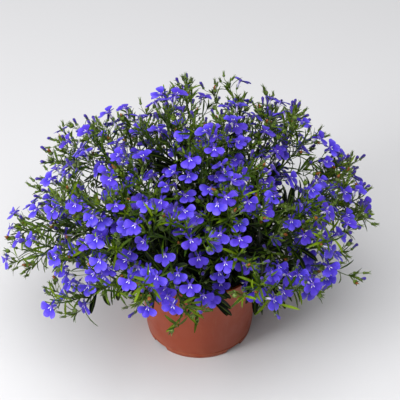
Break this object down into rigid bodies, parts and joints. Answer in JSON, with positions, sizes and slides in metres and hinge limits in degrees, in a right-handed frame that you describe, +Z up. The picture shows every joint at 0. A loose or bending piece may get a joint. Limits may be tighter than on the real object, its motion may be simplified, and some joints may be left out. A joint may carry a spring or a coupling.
{
  "type": "trailing lobelia in a pot",
  "caption": "Bushy trailing lobelia: a dome of thin leafy stems with small violet-blue blooms, growing in soil in a tapered terracotta-coloured plastic nursery pot.",
  "frame": {"origin": "middle of the pot's foot, on the surface that the pot stands on", "axes": "+Z up along the pot's axis, -Y towards the front of the plant"},
  "size_m": [0.3259, 0.3341, 0.2592],
  "materials": {
    "terracotta_plastic": "moulded terracotta-coloured plastic, satin",
    "potting_soil": "dark fibrous potting compost",
    "flowering_spray": "fresh green stems and leaves with violet-blue petals"
  },
  "bodies": {
    "root": {"pot": "terracotta_plastic", "soil": "potting_soil", "spray_01": "flowering_spray", "spray_02": "flowering_spray", "spray_03": "flowering_spray", "spray_04": "flowering_spray", "spray_05": "flowering_spray", "spray_06": "flowering_spray", "spray_07": "flowering_spray", "spray_08": "flowering_spray", "spray_09": "flowering_spray", "spray_10": "flowering_spray", "spray_11": "flowering_spray", "spray_12": "flowering_spray", "spray_13": "flowering_spray", "spray_14": "flowering_spray", "spray_15": "flowering_spray", "spray_16": "flowering_spray", "spray_17": "flowering_spray", "spray_18": "flowering_spray", "spray_19": "flowering_spray", "spray_20": "flowering_spray", "spray_21": "flowering_spray", "spray_22": "flowering_spray", "spray_23": "flowering_spray", "spray_24": "flowering_spray", "spray_25": "flowering_spray", "spray_26": "flowering_spray", "spray_27": "flowering_spray", "spray_28": "flowering_spray", "spray_29": "flowering_spray", "spray_30": "flowering_spray", "spray_31": "flowering_spray", "spray_32": "flowering_spray", "spray_33": "flowering_spray", "spray_34": "flowering_spray", "skirt_spray_35": "flowering_spray", "skirt_spray_36": "flowering_spray", "skirt_spray_37": "flowering_spray", "skirt_spray_38": "flowering_spray", "skirt_spray_39": "flowering_spray", "skirt_spray_40": "flowering_spray", "skirt_spray_41": "flowering_spray", "skirt_spray_42": "flowering_spray"}
  },
  "joints": []
}
